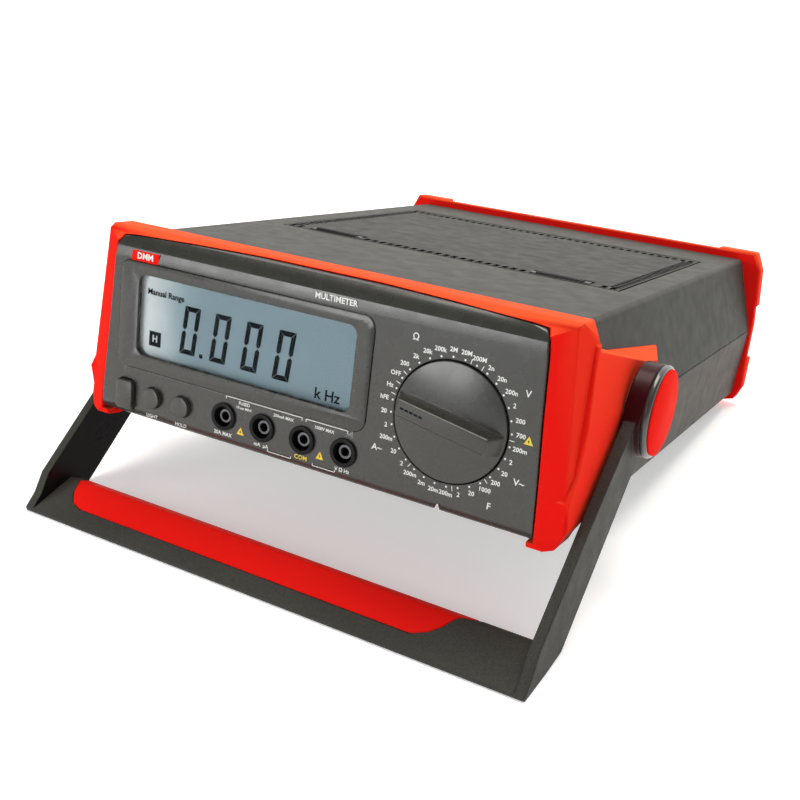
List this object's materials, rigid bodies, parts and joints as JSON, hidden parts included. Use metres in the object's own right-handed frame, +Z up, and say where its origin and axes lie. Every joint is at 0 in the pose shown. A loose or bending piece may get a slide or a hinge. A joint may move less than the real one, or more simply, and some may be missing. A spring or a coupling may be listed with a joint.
{
  "type": "bench multimeter",
  "caption": "Bench multimeter with a tilting carry handle, range knob, display, four input sockets and a lidded storage tray.",
  "frame": {"origin": "centre of the bounding box at table height, with the meter standing on its handle and rear feet", "axes": "+X to the right as one faces the front panel, +Y from the front panel to the rear, +Z up"},
  "size_m": [0.2652, 0.3546, 0.1284],
  "materials": {
    "charcoal_plastic": "fine moulded texture",
    "control_plastic": "satin",
    "dark_plastic": "satin",
    "red_plastic": "satin gloss",
    "red_rubber": "soft satin",
    "black_plastic": "satin",
    "black_rubber": "matte",
    "ivory_plastic": "satin",
    "lcd_lens": "clear",
    "lcd_face": "satin",
    "steel": "zinc plated",
    "brass": "plated",
    "copper": "enamelled copper wire",
    "fibre": "pressed fibre",
    "circuit_board": "solder mask",
    "capacitor_sleeve": "shrink sleeve",
    "fuse_glass": "glass tube",
    "cell_jacket": "printed jacket, plain"
  },
  "bodies": {
    "case": {"bottom_case": "charcoal_plastic", "top_case": "charcoal_plastic", "front_bezel": "red_plastic", "rear_bezel": "red_plastic", "front_panel": "charcoal_plastic", "rear_panel": "dark_plastic", "storage_tray": "dark_plastic", "hinge_pins": "steel", "lcd_frame": "dark_plastic", "lcd_window": "lcd_lens", "lcd_glass": "lcd_face", "lcd_backlight": "ivory_plastic", "display_board": "circuit_board", "board_screws": "steel", "input_housings": "black_plastic", "input_contacts": "steel", "shaft_bush": "brass", "detent_ring": "ivory_plastic", "button_switches": "black_plastic", "pivot_studs": "steel", "pivot_brackets": "steel", "friction_washers": "fibre", "hub_washers": "steel", "hub_screws": "steel", "main_board": "circuit_board", "board_standoffs": "brass", "transformer_core": "steel", "transformer_coil": "copper", "filter_capacitors": "capacitor_sleeve", "input_fuses": "fuse_glass", "fuse_clips": "brass", "buzzer": "black_plastic", "battery_box": "dark_plastic", "battery_door": "charcoal_plastic", "battery_cells": "cell_jacket", "battery_contacts": "steel", "mains_inlet": "black_plastic", "inlet_pins": "steel", "fuse_holder": "black_plastic", "mains_fuse": "fuse_glass", "selector_body": "black_plastic", "data_port": "steel", "case_screws": "steel", "rubber_feet": "black_rubber"},
    "lid": {"storage_lid": "charcoal_plastic", "latch_springs": "steel"},
    "left_latch": {"latch_left": "dark_plastic"},
    "right_latch": {"latch_right": "dark_plastic"},
    "knob": {"range_knob": "control_plastic", "knob_shaft": "steel", "switch_rotor": "ivory_plastic", "detent_balls": "steel"},
    "power": {"power_button": "control_plastic"},
    "light": {"light_button": "control_plastic"},
    "hold": {"hold_button": "control_plastic"},
    "bail": {"bail_frame": "charcoal_plastic", "bail_grip": "red_rubber", "hub_discs": "charcoal_plastic", "hub_caps": "red_plastic"},
    "selector": {"selector_slider": "red_plastic"}
  },
  "joints": [
    {"name": "handle_tilt", "type": "hinge", "parent": "case", "child": "bail", "pos_m": [0, -0.0672, 0.07823], "axis": [1, 0, 0], "range_deg": [-196, 98]},
    {"name": "lid_hinge", "type": "hinge", "parent": "case", "child": "lid", "pos_m": [0, 0.12184, 0.09218], "axis": [-1, 0, 0], "range_deg": [0, 100]},
    {"name": "left_latch_slide", "type": "slide", "parent": "lid", "child": "left_latch", "axis": [0, 0.9928, -0.1199], "range_m": [0, 0.0035], "stiffness_N_per_m": 300},
    {"name": "right_latch_slide", "type": "slide", "parent": "lid", "child": "right_latch", "axis": [0, 0.9928, -0.1199], "range_m": [0, 0.0035], "stiffness_N_per_m": 300},
    {"name": "range_select", "type": "hinge", "parent": "case", "child": "knob", "pos_m": [0.0688, -0.13821, 0.08237], "axis": [0, -0.9928, 0.1199], "continuous": true},
    {"name": "power_push", "type": "slide", "parent": "case", "child": "power", "axis": [0, 0.9928, -0.1199], "range_m": [-0.0025, 0]},
    {"name": "light_push", "type": "slide", "parent": "case", "child": "light", "axis": [0, 0.9928, -0.1199], "range_m": [0, 0.0012], "stiffness_N_per_m": 900},
    {"name": "hold_push", "type": "slide", "parent": "case", "child": "hold", "axis": [0, 0.9928, -0.1199], "range_m": [0, 0.0012], "stiffness_N_per_m": 900},
    {"name": "voltage_select", "type": "slide", "parent": "case", "child": "selector", "axis": [1, 0, 0], "range_m": [0, 0.006]}
  ]
}
